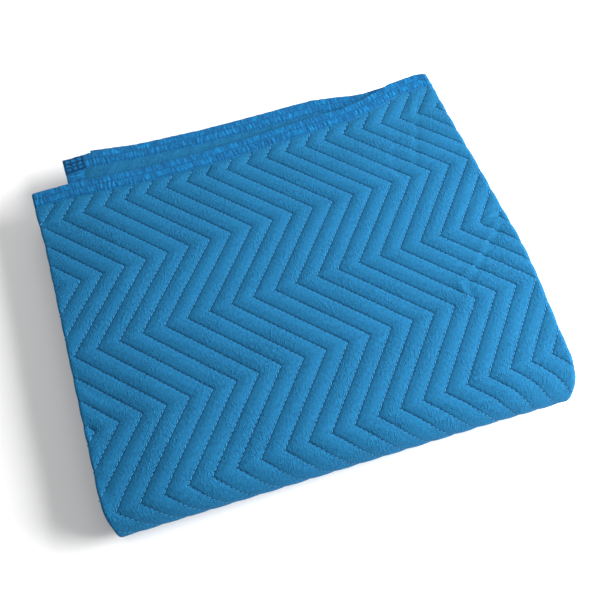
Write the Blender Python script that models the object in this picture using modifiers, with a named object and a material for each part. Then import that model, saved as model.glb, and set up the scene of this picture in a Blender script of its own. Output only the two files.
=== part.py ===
"""A quilted moving blanket, folded to sixteen layers and lying flat.

The blanket is one sheet. It is folded in half twice across its width and then twice along its
length, and its four edges are bound with folded tape. Each piece is first laid out flat, where s
runs across the blanket and t along it, and is then carried to its folded place.
"""

import math
from collections import namedtuple

import bmesh
import bpy
from mathutils import Vector

MM = 0.001

# Cloth, its layers and its tape
LAYER = 3.1 * MM
CLOTH = 2.4 * MM
FOLD_CLOTH = 1.6 * MM
BOUND_CLOTH = 1.0 * MM
SEAM_CLOTH = 1.4 * MM
SEAM_DIP = 0.45 * MM
TAPE = 0.5 * MM
TAPE_OFF = 1.05 * MM
TAPE_BACK = 0.25 * MM
TAPE_ROUND = 0.8 * MM
TAPE_ROUND_OFF = 0.6 * MM
END_TAPE_WIDTH = 22.5 * MM
SIDE_TAPE_WIDTH = 22.5 * MM
TAPE_SPACE = 0.6 * MM
CLOTH_BACK = 1.1 * MM
THIN_TO = 1 * MM
THICK_FROM = 4 * MM

# The folded bundle, seen from above
WIDTH = 516 * MM
DEPTH_LEFT = 417.5 * MM
DEPTH_RIGHT = 446.5 * MM
DEPTH = (DEPTH_LEFT + DEPTH_RIGHT) / 2
THIRD_PANEL_IN = 44 * MM
UNDER_PANEL_IN = 79 * MM
CENTRE = Vector((0.25328, -0.19979, -0.00008))

# How the sides of the bundle lean and bow, and how its near corners are rounded
LEFT_OUT = 1 * MM
LEFT_LEAN = 13 * MM
LEFT_FLARE = 3.5 * MM
FLARE_TO = 0.2
RIGHT_OUT = 2.5 * MM
RIGHT_LEAN = 2 * MM
RIGHT_BOW = 17 * MM
BOW_FROM = 0.55
LEFT_CORNER_ROUND = 8 * MM
RIGHT_CORNER_ROUND = 14 * MM
CORNER_LONG = 45 * MM
CORNER_EDGE = 12 * MM
CORNER_WIDE = 120 * MM

# How the top sinks where layers are missing on the left, and at the near corners
LEFT_SINK = 3 * MM
LEFT_SINK_NEAR = 1.5 * MM
SINK_FADE = 60 * MM
CORNER_SINK = 0.06
CORNER_SINK_WIDE = 90 * MM

# Quilting: nested zigzag seams that run from the far to the near edge
SEAM_PITCH = 25.4 * MM
ZIGZAG_LONG = 88.1 * MM
ZIGZAG_WIDE = 78.8 * MM
FIRST_TURN = 46 * MM
SEAM_START = 23 * MM
CROWN_POWER = 0.7
SNAP = 0.4 * MM

# Where the flat sheet is cut for its uneven shape, from the sides and from the near folds
COLUMNS_LEFT = (14 * MM, 45 * MM, 84 * MM, 120 * MM)
COLUMNS_RIGHT = (12 * MM, 50 * MM, 110 * MM)
COLUMNS_FAR = (160 * MM, 212 * MM, 294 * MM, 361 * MM)
ROWS_BESIDE = (38 * MM, 140 * MM)
SINK_ROWS = 3
SINK_CUT = 125 * MM
EDGE_FADE = 40 * MM

Section = namedtuple("Section", "name length radius turn")
Edge = namedtuple("Edge", "across top third under")

LEFT_X = LAYER / 2 + CLOTH / 2
RIGHT_X = WIDTH - 1.5 * LAYER - CLOTH / 2
NEAR_Y = DEPTH - 7.5 * LAYER - CLOTH / 2

# Across the blanket: the panel that ends up lowest comes first
ACROSS = [
    Section("under panel", RIGHT_X - UNDER_PANEL_IN, 0, 0),
    Section("right outer fold", math.pi * 1.5 * LAYER, 1.5 * LAYER, 180),
    Section("top panel", RIGHT_X - LEFT_X, 0, 0),
    Section("left fold", math.pi * 0.5 * LAYER, 0.5 * LAYER, 180),
    Section("second panel", RIGHT_X - LEFT_X, 0, 0),
    Section("right inner fold", math.pi * 0.5 * LAYER, 0.5 * LAYER, -180),
    Section("third panel", RIGHT_X - THIRD_PANEL_IN, 0, 0),
]

# Along the blanket: the quarter that ends up on top comes first
ALONG = [
    Section("top quarter", NEAR_Y, 0, 0),
    Section("near outer fold", math.pi * 7.5 * LAYER, 6 * LAYER, 180),
    Section("bottom quarter", NEAR_Y - 14 * MM, 0, 0),
    Section("far fold", math.pi * 2 * LAYER, 2 * LAYER, 180),
    Section("third quarter", NEAR_Y - 15 * MM, 0, 0),
    Section("near inner fold", math.pi * 2 * LAYER, 2 * LAYER, -180),
    Section("fourth quarter", NEAR_Y - 4 * MM, 0, 0),
]

# The far edge: how far each layer reaches past the nominal edge, in mm, from left to right
FAR_EDGE = [
    Edge(0.00, 2.5, 43.0, 48.5),
    Edge(0.08, 0.5, 43.0, 48.5),
    Edge(0.15, -4.0, 42.0, 48.0),
    Edge(0.22, -7.5, 37.0, 41.0),
    Edge(0.29, -9.5, 33.0, 34.8),
    Edge(0.41, -11.0, 27.5, 28.3),
    Edge(0.57, -9.0, 24.7, 25.4),
    Edge(0.70, -7.3, 23.7, 24.4),
    Edge(0.76, -7.0, 17.8, 18.5),
    Edge(0.82, -2.0, 10.5, 10.8),
    Edge(0.90, 9.5, 12.0, 12.2),
    Edge(0.97, 12.0, 12.2, 12.4),
    Edge(1.00, 9.5, 9.5, 9.5),
]

# Steps in each half turn of a fold
FOLD_STEPS = {
    "right outer fold": 6,
    "left fold": 4,
    "right inner fold": 4,
    "near outer fold": 8,
    "far fold": 6,
    "near inner fold": 6,
}


def total(sections):
    """The cloth that a row of sections takes up."""
    return sum(section.length for section in sections)


def section_span(sections, name):
    """Where a section starts and ends along the cloth."""
    start = 0
    for section in sections:
        if section.name == name:
            return start, start + section.length
        start += section.length
    raise ValueError(name)


BLANKET_WIDTH = total(ACROSS)
BLANKET_LENGTH = total(ALONG)
SIDE_COLUMNS = COLUMNS_LEFT + tuple(WIDTH - place for place in COLUMNS_RIGHT)
TOP_START, TOP_END = section_span(ACROSS, "top panel")
LEFT_FOLD_END = section_span(ACROSS, "left fold")[1]
NEAR_START, NEAR_END = section_span(ALONG, "near outer fold")


def smooth(low, high, value):
    """Rises softly from 0 at low to 1 at high."""
    part = min(1, max(0, (value - low) / (high - low)))
    return part * part * (3 - 2 * part)


def direction(degrees):
    """The unit vector at an angle in the plane of a fold."""
    return Vector((math.cos(math.radians(degrees)), math.sin(math.radians(degrees))))


def walk(sections, start, heading, distance, off):
    """The point at a distance along the sections, moved off to the right of the heading."""
    point = start.copy()
    for number, section in enumerate(sections):
        last = number == len(sections) - 1
        used = distance if last else min(distance, section.length)
        if section.turn:
            angle = section.turn * used / section.length
            side = math.copysign(90, section.turn)
            centre = point + direction(heading + side) * section.radius
            point = centre - direction(heading + side + angle) * section.radius
            heading += angle
        else:
            point = point + direction(heading) * used
        distance -= used
        if distance <= 0:
            break
    return point + direction(heading - 90) * off


def read_edge(across, column):
    """The value of a column of the far edge's table at a place across the bundle."""
    for left, right in zip(FAR_EDGE, FAR_EDGE[1:]):
        if across <= right.across:
            part = max(0, (across - left.across) / (right.across - left.across))
            low, high = getattr(left, column), getattr(right, column)
            return (low + (high - low) * part) * MM
    return getattr(FAR_EDGE[-1], column) * MM


def reach(s, t, across):
    """How far the cloth reaches past the nominal far edge. It fades out before the near fold."""
    column = "top"
    if s < TOP_START:
        column = "under"
    if s > BLANKET_WIDTH - ACROSS[-1].length:
        column = "third"
    return read_edge(across, column) * (1 - smooth(EDGE_FADE, NEAR_START - EDGE_FADE, t))


def sink(x, depth, z):
    """Lowers the layers above the gaps that the short panels leave on the left."""
    gap = 2 * LAYER
    lower = min(1, max(0, (z - 3 * LAYER) / gap))
    upper = min(1, max(0, (z - 11 * LAYER) / gap))
    near = smooth(NEAR_Y - SINK_FADE, NEAR_Y, depth)
    amount = LEFT_SINK + (LEFT_SINK_NEAR - LEFT_SINK) * near
    side = max(0, 1 - x / UNDER_PANEL_IN)
    return amount * side * (lower + upper) / 2


def side_lines(part):
    """The x of the bundle's left and right side at a part of its depth."""
    left = -LEFT_OUT - LEFT_LEAN * part - LEFT_FLARE * (1 - smooth(0, FLARE_TO, part))
    return left, WIDTH + RIGHT_OUT - RIGHT_LEAN * part - RIGHT_BOW * smooth(BOW_FROM, 1, part)


def depth_at(x):
    """How deep the bundle is at a place across it."""
    return DEPTH_LEFT + (DEPTH_RIGHT - DEPTH_LEFT) * x / WIDTH


def settle(x, depth, z):
    """Turns the true folded bundle into the uneven one that lies on the floor."""
    part = depth / DEPTH
    left, right = side_lines(part)
    tip = max(0, 1 - max(0, DEPTH - depth) / CORNER_LONG)
    on_left = LEFT_CORNER_ROUND * (1 - smooth(CORNER_EDGE, CORNER_WIDE, x))
    on_right = RIGHT_CORNER_ROUND * (1 - smooth(CORNER_EDGE, CORNER_WIDE, WIDTH - x))
    low_near = smooth(DEPTH - 2 * CORNER_SINK_WIDE, DEPTH, depth)
    low_side = 1 - smooth(0, CORNER_SINK_WIDE, min(x, WIDTH - x))
    height = z - sink(x, depth, z)
    height *= 1 - CORNER_SINK * low_near * low_side
    across = left + x / WIDTH * (right - left) + tip * tip * (on_left - on_right)
    return Vector((across, -part * depth_at(x), height - (LAYER - CLOTH) / 2)) - CENTRE


def place(s, t, off=0):
    """Carries a point of the flat blanket to the folded one. Off is its height over mid-cloth."""
    x, height = walk(ACROSS, Vector((UNDER_PANEL_IN, LAYER / 2)), 0, s, off)
    distance = t - reach(s, t, x / WIDTH)
    depth, z = walk(ALONG, Vector((0, 14 * LAYER)), 180, distance, height - 2 * LAYER)
    return settle(x, -depth, z)


def zigzag(down):
    """How far a seam has swung to the right at a distance down from the far edge."""
    turns = (down - FIRST_TURN) / ZIGZAG_LONG
    part = turns % 2
    return ZIGZAG_WIDE * (part if part < 1 else 2 - part)


def on_top(s, t):
    """The place of a point of the top panel as it lies: across from the left, and down."""
    x = RIGHT_X + TOP_START - s
    flat = min(t, NEAR_START) - reach(s, t, x / WIDTH)
    part = flat / DEPTH
    left, right = side_lines(part)
    down = part * depth_at(x) + max(0, t - NEAR_START)
    return left + x / WIDTH * (right - left), down


def off_top(across, down):
    """The s and t of a point of the top panel, found by moving a guess to its place."""
    s, t = TOP_START + RIGHT_X - across, down
    for _ in range(12):
        now_across, now_down = on_top(s, t)
        s += now_across - across
        t -= now_down - down
    return s, t


def puff(s, t):
    """From 0 on a seam to 1 on the crown between two seams."""
    across, down = on_top(s, t)
    phase = (across - SEAM_START - zigzag(down)) / SEAM_PITCH
    return math.sin(math.pi * (phase % 1)) ** CROWN_POWER


def in_quilted(s, t):
    """Whether a point is on the top panel, where the quilting shows."""
    bound = END_TAPE_WIDTH + THIN_TO
    return TOP_START <= s <= TOP_END and bound < t < NEAR_END


def in_sunk(s, t):
    """Whether a point is on the left of the top panel or in the fold that it ends in."""
    return TOP_END - SINK_CUT < s < LEFT_FOLD_END and in_quilted(min(s, TOP_END), t)


def in_tight_fold(s, t):
    """Whether a point is inside a tight fold, where the cloth is pinched."""
    folds = ((s, ACROSS, "left fold"), (s, ACROSS, "right inner fold"), (t, ALONG, "near inner fold"))
    for value, sections, name in folds:
        low, high = section_span(sections, name)
        if low - SNAP < value < high + SNAP:
            return True
    return False


def edge_part(s, t):
    """From 0 under the tape to 1 on the open cloth."""
    end = min(t, BLANKET_LENGTH - t) - END_TAPE_WIDTH
    side = min(s, BLANKET_WIDTH - s) - SIDE_TAPE_WIDTH
    return min(1, max(0, (min(end, side) - THIN_TO) / (THICK_FROM - THIN_TO)))


def cloth_at(s, t):
    """The thickness of the cloth at a point, and how far its middle dips."""
    thick, dip = CLOTH, 0
    if in_tight_fold(s, t):
        thick = FOLD_CLOTH
    elif in_quilted(s, t):
        crown = puff(s, t)
        thick = SEAM_CLOTH + (CLOTH - SEAM_CLOTH) * crown
        dip = SEAM_DIP * (1 - crown)
    open_part = edge_part(s, t)
    return BOUND_CLOTH + (thick - BOUND_CLOTH) * open_part, dip * open_part


def faces_where(bm, wanted):
    """The faces whose middle is wanted."""
    found = []
    for face in bm.faces:
        middle = face.calc_center_median()
        if wanted(middle.x, middle.y):
            found.append(face)
    return found


def cut(bm, faces, point, along):
    """Cuts faces of the flat sheet along a line."""
    edges = {edge for face in faces for edge in face.edges}
    verts = {vert for face in faces for vert in face.verts}
    bmesh.ops.bisect_plane(
        bm,
        geom=list(faces) + list(edges) + list(verts),
        dist=SNAP,
        plane_co=Vector((point[0], point[1], 0)),
        plane_no=Vector((-along[1], along[0], 0)),
    )


def fold_cuts(sections):
    """Where the cloth is cut so that it can turn round each of its folds."""
    found = []
    for section in sections:
        if section.turn:
            start, end = section_span(sections, section.name)
            steps = FOLD_STEPS[section.name]
            found += [start + (end - start) * step / steps for step in range(steps + 1)]
    return found


def width_cuts(places):
    """The s at which each panel is cut so that it lies at these places across the bundle."""
    found = []
    for section in ACROSS:
        if section.turn:
            continue
        start, end = section_span(ACROSS, section.name)
        turned = section.name in ("top panel", "third panel")
        for place in places:
            column = start + RIGHT_X - place if turned else end - RIGHT_X + place
            if start < column < end:
                found.append(column)
    return found


def row_cuts():
    """The cuts across the whole sheet: at the tape, round the folds and beside the near folds."""
    beside_tape = [END_TAPE_WIDTH + THIN_TO, END_TAPE_WIDTH + THICK_FROM]
    rows = fold_cuts(ALONG) + beside_tape + [BLANKET_LENGTH - row for row in beside_tape]
    for name in ("near outer fold", "near inner fold"):
        start, end = section_span(ALONG, name)
        for beside in ROWS_BESIDE:
            rows += [start - beside, end + beside]
    return rows


def column_cuts():
    """The cuts along the whole sheet: at the tape and round the folds."""
    beside_tape = [SIDE_TAPE_WIDTH + THIN_TO, SIDE_TAPE_WIDTH + THICK_FROM]
    return fold_cuts(ACROSS) + beside_tape + [BLANKET_WIDTH - column for column in beside_tape]


def cut_flat_sheet(bm):
    """Cuts the flat sheet at its folds, beside its tape and along the quilting seams."""
    for row in row_cuts():
        cut(bm, bm.faces, (0, row), (1, 0))
    for column in column_cuts():
        cut(bm, bm.faces, (column, 0), (0, 1))
    far_rows = NEAR_START - max(ROWS_BESIDE)
    for column in width_cuts(SIDE_COLUMNS):
        cut(bm, faces_where(bm, lambda s, t: not in_quilted(s, t)), (column, 0), (0, 1))
    for column in width_cuts(COLUMNS_FAR):
        far = faces_where(bm, lambda s, t: t < far_rows and not in_quilted(s, t))
        cut(bm, far, (column, 0), (0, 1))
    cut_quilting(bm)


def cut_quilting(bm):
    """Cuts the top panel at each turn of the zigzag and along its seams and crowns."""
    deepest = on_top(TOP_START, NEAR_END)[1]
    strips = range(-1, math.ceil((deepest - FIRST_TURN) / ZIGZAG_LONG))
    halves = range(-2 * int(ZIGZAG_WIDE / SEAM_PITCH) - 4, 2 * int(WIDTH / SEAM_PITCH) + 4)
    for strip in strips:
        low = FIRST_TURN + strip * ZIGZAG_LONG
        high = low + ZIGZAG_LONG
        first, last = off_top(0, high), off_top(WIDTH, high)
        cut(bm, faces_where(bm, in_quilted), first, (last[0] - first[0], last[1] - first[1]))
        for half in halves:
            across = half * SEAM_PITCH / 2 + SEAM_START
            first = off_top(across + zigzag(low), low)
            last = off_top(across + zigzag(high), high)
            along = (last[0] - first[0], last[1] - first[1])
            faces = faces_where(bm, lambda s, t: in_quilted(s, t) and low < on_top(s, t)[1] < high)
            cut(bm, faces, first, along)
        for step in range(1, SINK_ROWS):
            row = off_top(0, high - ZIGZAG_LONG * step / SINK_ROWS)[1]
            cut(bm, faces_where(bm, in_sunk), (0, row), (1, 0))


def finish_piece(name, bm, thickness, material, collection, group=None):
    """Makes an object of an open surface and gives it its thickness."""
    mesh = bpy.data.meshes.new(name)
    bm.to_mesh(mesh)
    bm.free()
    mesh.materials.append(material)
    mesh.shade_smooth()
    piece = bpy.data.objects.new(name, mesh)
    collection.objects.link(piece)
    if group:
        piece.vertex_groups.new(name="thickness").add(range(len(mesh.vertices)), 1, "REPLACE")
        for number, part in enumerate(group):
            piece.vertex_groups["thickness"].add([number], part, "REPLACE")
    wall = piece.modifiers.new("Thickness", "SOLIDIFY")
    wall.thickness = thickness
    wall.offset = 0
    if group:
        wall.vertex_group = "thickness"
    return piece


def build_cloth(material, collection):
    """The one quilted sheet of the blanket, folded."""
    bm = bmesh.new()
    low = Vector((CLOTH_BACK, CLOTH_BACK, 0))
    high = Vector((BLANKET_WIDTH - CLOTH_BACK, BLANKET_LENGTH - CLOTH_BACK, 0))
    bmesh.ops.create_grid(bm, x_segments=1, y_segments=1, size=0.5)
    for vert in bm.verts:
        vert.co.x = low.x + (vert.co.x + 0.5) * (high.x - low.x)
        vert.co.y = low.y + (vert.co.y + 0.5) * (high.y - low.y)
    cut_flat_sheet(bm)
    bmesh.ops.triangulate(bm, faces=bm.faces[:])
    parts = []
    for vert in bm.verts:
        s, t = vert.co.x, vert.co.y
        thick, dip = cloth_at(s, t)
        parts.append(thick / CLOTH)
        vert.co = place(s, t, -dip)
    return finish_piece("blanket_cloth", bm, CLOTH, material, collection, parts)


def tape_section(width):
    """Half of the tape's folded section, as distance from the cloth's edge and height."""
    return [(width, TAPE_OFF), (TAPE_ROUND, TAPE_OFF), (TAPE_BACK, TAPE_ROUND_OFF)]


def build_tape(name, width, places, point_at, material, collection):
    """A tape folded over an edge, cut at these places along it."""
    half = tape_section(width)
    section = half + [(back, -height) for back, height in reversed(half)]
    bm = bmesh.new()
    long_steps, short_steps = len(places) - 1, len(section) - 1
    bmesh.ops.create_grid(bm, x_segments=long_steps, y_segments=short_steps, size=0.5)
    for vert in bm.verts:
        along = places[round((vert.co.x + 0.5) * long_steps)]
        back, height = section[round((vert.co.y + 0.5) * short_steps)]
        vert.co = place(*point_at(along, back), height)
    return finish_piece(name, bm, TAPE, material, collection)


def stations(low, high, cuts):
    """The places from low to high where a tape is cut, which are those of its cloth."""
    return [low] + sorted(place for place in cuts if low < place < high) + [high]


def build_tapes(material, collection):
    """The tape on the two ends and the two sides of the blanket."""
    columns = column_cuts() + width_cuts(SIDE_COLUMNS)
    lower = stations(0, BLANKET_WIDTH, columns)
    top = stations(0, BLANKET_WIDTH, columns + width_cuts(COLUMNS_FAR))
    start = END_TAPE_WIDTH + TAPE_SPACE
    along = stations(start, BLANKET_LENGTH - start, row_cuts())
    build_tape("top_end_binding", END_TAPE_WIDTH, top,
               lambda s, back: (s, back), material, collection)
    build_tape("lower_end_binding", END_TAPE_WIDTH, lower,
               lambda s, back: (s, BLANKET_LENGTH - back), material, collection)
    build_tape("under_side_binding", SIDE_TAPE_WIDTH, along,
               lambda t, back: (back, t), material, collection)
    build_tape("third_side_binding", SIDE_TAPE_WIDTH, along,
               lambda t, back: (BLANKET_WIDTH - back, t), material, collection)


def make_material(name, colour, roughness):
    """A plain cloth material."""
    material = bpy.data.materials.new(name)
    material.use_nodes = True
    shader = material.node_tree.nodes["Principled BSDF"]
    shader.inputs["Base Color"].default_value = (*colour, 1)
    shader.inputs["Roughness"].default_value = roughness
    shader.inputs["Metallic"].default_value = 0
    material.diffuse_color = (*colour, 1)
    return material


def main():
    """Builds the folded blanket and its bindings."""
    for leftover in list(bpy.data.objects):
        bpy.data.objects.remove(leftover)
    blanket = bpy.data.collections.new("moving_blanket")
    bpy.context.scene.collection.children.link(blanket)
    felt = make_material("quilted polyester felt", (0.026, 0.223, 0.485), 0.95)
    tape = make_material("woven polyester tape", (0.013, 0.205, 0.546), 0.8)
    build_cloth(felt, blanket)
    build_tapes(tape, blanket)


main()
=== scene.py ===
"""Dresses a folded, quilted moving blanket.

The blanket is one sheet. Each of its points has a place on the flat cloth, s across it and t along
it, and is carried from there to its place in the folded bundle. Lengths are in metres.
"""

import math
from collections import namedtuple

import bpy
import numpy as np
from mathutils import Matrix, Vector


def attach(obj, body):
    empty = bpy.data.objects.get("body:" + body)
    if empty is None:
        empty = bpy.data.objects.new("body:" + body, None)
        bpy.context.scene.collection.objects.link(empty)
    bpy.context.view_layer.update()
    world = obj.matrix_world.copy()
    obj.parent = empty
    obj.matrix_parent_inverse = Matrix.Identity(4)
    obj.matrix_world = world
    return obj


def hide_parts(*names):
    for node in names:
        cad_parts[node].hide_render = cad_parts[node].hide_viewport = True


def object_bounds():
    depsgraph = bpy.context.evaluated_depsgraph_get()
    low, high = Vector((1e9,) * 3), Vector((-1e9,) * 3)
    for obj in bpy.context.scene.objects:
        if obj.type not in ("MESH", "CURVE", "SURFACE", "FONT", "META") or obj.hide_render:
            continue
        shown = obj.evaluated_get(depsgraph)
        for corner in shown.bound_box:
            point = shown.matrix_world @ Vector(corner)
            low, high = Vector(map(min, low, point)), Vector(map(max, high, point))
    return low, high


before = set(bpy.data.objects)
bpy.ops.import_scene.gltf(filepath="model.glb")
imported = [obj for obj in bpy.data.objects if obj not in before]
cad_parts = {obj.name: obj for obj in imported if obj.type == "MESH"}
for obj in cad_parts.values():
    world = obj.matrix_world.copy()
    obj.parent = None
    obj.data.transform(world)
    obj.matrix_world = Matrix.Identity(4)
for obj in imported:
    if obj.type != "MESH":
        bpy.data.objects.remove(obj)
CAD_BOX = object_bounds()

bl_info = {
    "name": "Folded Moving Blanket",
    "version": (1, 0, 0),
    "blender": (4, 5, 0),
    "location": "View3D > Sidebar > Blanket",
    "description": "Builds the cloth, tape and stitching of a folded quilted blanket",
    "category": "Object",
}

MM = 0.001

# Cloth, its layers and the tape on its edges
LAYER = 3.1 * MM
CLOTH = 2.4 * MM
CLOTH_BACK = 1.1 * MM
BOUND_CLOTH = 1.0 * MM
END_TAPE_WIDTH = 22.5 * MM
SIDE_TAPE_WIDTH = 22.5 * MM
TAPE_SPACE = 0.6 * MM
THIN_TO = 0.3 * MM
THICK_FROM = 3.5 * MM
CROWN_RISE = 0.5 * MM
HIDDEN_PUFF = 0.6 * MM

# Where the puffs of the top fade out, and how flat the cloth is pressed inside a tight fold
RIGHT_FADE = 8 * MM
LEFT_FADE = 6 * MM
FAR_FADE = 10 * MM
NEAR_FADE = 25 * MM
NEAR_CALM = 0.7
HIDDEN_FADE = 20 * MM
FOLD_PINCH = 0.38

# The folded bundle, seen from above
WIDTH = 516 * MM
DEPTH_LEFT = 417.5 * MM
DEPTH_RIGHT = 446.5 * MM
DEPTH = (DEPTH_LEFT + DEPTH_RIGHT) / 2
THIRD_PANEL_IN = 44 * MM
UNDER_PANEL_IN = 79 * MM
CENTRE = np.array((0.25328, -0.19979, -0.00008))

# How the sides of the bundle lean and bow, and how its near corners are rounded
LEFT_OUT = 1 * MM
LEFT_LEAN = 13 * MM
LEFT_FLARE = 3.5 * MM
FLARE_TO = 0.2
RIGHT_OUT = 2.5 * MM
RIGHT_LEAN = 2 * MM
RIGHT_BOW = 17 * MM
BOW_FROM = 0.55
LEFT_CORNER_ROUND = 8 * MM
RIGHT_CORNER_ROUND = 14 * MM
CORNER_LONG = 45 * MM
CORNER_EDGE = 12 * MM
CORNER_WIDE = 120 * MM

# How the top sinks where layers are missing on the left, and at the near corners
LEFT_SINK = 3 * MM
LEFT_SINK_NEAR = 1.5 * MM
SINK_FADE = 60 * MM
CORNER_SINK = 0.06
CORNER_SINK_WIDE = 90 * MM

# Quilting: nested zigzag seams that run from the far to the near edge
SEAM_PITCH = 25.4 * MM
ZIGZAG_LONG = 88.1 * MM
ZIGZAG_WIDE = 78.8 * MM
FIRST_TURN = 46 * MM
SEAM_START = 23 * MM
CROWN_POWER = 0.62
SEAM_STRETCH = math.hypot(1, ZIGZAG_WIDE / ZIGZAG_LONG)
EDGE_FADE = 40 * MM

Section = namedtuple("Section", "name length radius turn")
Edge = namedtuple("Edge", "across top third under")
Crease = namedtuple("Crease", "points width depth ridge")

LEFT_X = LAYER / 2 + CLOTH / 2
RIGHT_X = WIDTH - 1.5 * LAYER - CLOTH / 2
NEAR_Y = DEPTH - 7.5 * LAYER - CLOTH / 2

# Across the blanket: the panel that ends up lowest comes first
ACROSS = [
    Section("under panel", RIGHT_X - UNDER_PANEL_IN, 0, 0),
    Section("right outer fold", math.pi * 1.5 * LAYER, 1.5 * LAYER, 180),
    Section("top panel", RIGHT_X - LEFT_X, 0, 0),
    Section("left fold", math.pi * 0.5 * LAYER, 0.5 * LAYER, 180),
    Section("second panel", RIGHT_X - LEFT_X, 0, 0),
    Section("right inner fold", math.pi * 0.5 * LAYER, 0.5 * LAYER, -180),
    Section("third panel", RIGHT_X - THIRD_PANEL_IN, 0, 0),
]

# Along the blanket: the quarter that ends up on top comes first
ALONG = [
    Section("top quarter", NEAR_Y, 0, 0),
    Section("near outer fold", math.pi * 7.5 * LAYER, 6 * LAYER, 180),
    Section("bottom quarter", NEAR_Y - 14 * MM, 0, 0),
    Section("far fold", math.pi * 2 * LAYER, 2 * LAYER, 180),
    Section("third quarter", NEAR_Y - 15 * MM, 0, 0),
    Section("near inner fold", math.pi * 2 * LAYER, 2 * LAYER, -180),
    Section("fourth quarter", NEAR_Y - 4 * MM, 0, 0),
]

# The far edge: how far each layer reaches past the nominal edge, in mm, from left to right
FAR_EDGE = [
    Edge(0.00, 2.5, 43.0, 48.5),
    Edge(0.08, 0.5, 43.0, 48.5),
    Edge(0.15, -4.0, 42.0, 48.0),
    Edge(0.22, -7.5, 37.0, 41.0),
    Edge(0.29, -9.5, 33.0, 34.8),
    Edge(0.41, -11.0, 27.5, 28.3),
    Edge(0.57, -9.0, 24.7, 25.4),
    Edge(0.70, -7.3, 23.7, 24.4),
    Edge(0.76, -7.0, 17.8, 18.5),
    Edge(0.82, -2.0, 10.5, 10.8),
    Edge(0.90, 9.5, 12.0, 12.2),
    Edge(0.97, 12.0, 12.2, 12.4),
    Edge(1.00, 9.5, 9.5, 9.5),
]

# Creases in the top, as places in mm across from the left and down from the far edge
CREASES = [
    Crease([(431, 303), (430, 291), (442, 283), (456, 273), (480, 253), (504, 233)], 3.5, 1.3, 1.3),
    Crease([(446, 116), (460, 87), (477, 53), (487, 29)], 3.5, 0.8, 0.5),
    Crease([(420, 105), (433, 77)], 3.2, 0.6, 0.5),
    Crease([(465, 207), (489, 193)], 3.2, 0.5, 0.4),
    Crease([(483, 218), (510, 208)], 3.2, 0.5, 0.4),
    Crease([(484, 228), (508, 220)], 3.2, 0.5, 0.4),
    Crease([(470, 278), (483, 264)], 3.2, 0.5, 0.4),
    Crease([(479, 290), (491, 284)], 3.2, 0.5, 0.4),
    Crease([(430, 326), (425, 311)], 3.2, 0.6, 0.5),
    Crease([(423, 138), (417, 120)], 3.2, 0.6, 0.5),
    Crease([(7, 37), (24, 38), (43, 35)], 3.5, 0.5, 0.3),
    Crease([(9, 52), (36, 66)], 3.5, 0.5, 0.3),
    Crease([(23, 286), (10, 275), (-6, 251)], 4, 0.7, 0.3),
    Crease([(4, 324), (-9, 297)], 4, 0.7, 0.4),
    Crease([(-3, 395), (-3, 375), (-13, 350)], 4, 0.7, 0.4),
]


def section_span(sections, name):
    """Where a section starts and ends along the cloth."""
    start = 0
    for section in sections:
        if section.name == name:
            return start, start + section.length
        start += section.length
    raise ValueError(name)


BLANKET_WIDTH = sum(section.length for section in ACROSS)
BLANKET_LENGTH = sum(section.length for section in ALONG)
TOP_START, TOP_END = section_span(ACROSS, "top panel")
RIGHT_FOLD_START = section_span(ACROSS, "right outer fold")[0]
LEFT_FOLD_END = section_span(ACROSS, "left fold")[1]
RIGHT_INNER = section_span(ACROSS, "right inner fold")
NEAR_START, NEAR_END = section_span(ALONG, "near outer fold")
FAR_FOLD = section_span(ALONG, "far fold")
NEAR_INNER = section_span(ALONG, "near inner fold")


def smooth(low, high, value):
    """Rises softly from 0 at low to 1 at high."""
    part = np.clip((value - low) / (high - low), 0, 1)
    return part * part * (3 - 2 * part)


def direction(degrees):
    """The unit vector at an angle in the plane of a fold."""
    return np.array((math.cos(math.radians(degrees)), math.sin(math.radians(degrees))))


def walk(sections, start, heading, distance, off):
    """Points at distances along the sections, moved off to the right of the heading."""
    point = np.array(start, float)
    found = np.zeros(distance.shape + (2,))
    todo = np.ones(distance.shape, bool)
    gone = 0
    for number, section in enumerate(sections):
        last = number == len(sections) - 1
        here = todo & ((distance <= gone + section.length) | last)
        used = distance[here] - gone
        turned = np.radians(section.turn * used / section.length)
        facing = math.radians(heading) + turned
        if section.turn:
            side = math.copysign(90, section.turn)
            centre = point + direction(heading + side) * section.radius
            spoke = math.radians(heading + side) + turned
            place = centre - section.radius * np.stack((np.cos(spoke), np.sin(spoke)), axis=-1)
            point = centre - section.radius * direction(heading + side + section.turn)
            heading += section.turn
        else:
            place = point + used[:, None] * direction(heading)
            point = point + section.length * direction(heading)
        right = np.stack((np.sin(facing), -np.cos(facing)), axis=-1)
        found[here] = place + right * off[here][:, None]
        todo &= ~here
        gone += section.length
    return found[..., 0], found[..., 1]


def reach(s, t, across):
    """How far the cloth reaches past the nominal far edge. It fades out before the near fold."""
    places = [edge.across for edge in FAR_EDGE]
    top, third, under = (
        np.interp(across, places, [getattr(edge, name) * MM for edge in FAR_EDGE])
        for name in ("top", "third", "under")
    )
    past = np.where(s < TOP_START, under, top)
    past = np.where(s > BLANKET_WIDTH - ACROSS[-1].length, third, past)
    return past * (1 - smooth(EDGE_FADE, NEAR_START - EDGE_FADE, t))


def sink(x, depth, z):
    """Lowers the layers above the gaps that the short panels leave on the left."""
    gap = 2 * LAYER
    lower = np.clip((z - 3 * LAYER) / gap, 0, 1)
    upper = np.clip((z - 11 * LAYER) / gap, 0, 1)
    near = smooth(NEAR_Y - SINK_FADE, NEAR_Y, depth)
    amount = LEFT_SINK + (LEFT_SINK_NEAR - LEFT_SINK) * near
    return amount * np.maximum(0, 1 - x / UNDER_PANEL_IN) * (lower + upper) / 2


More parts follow.
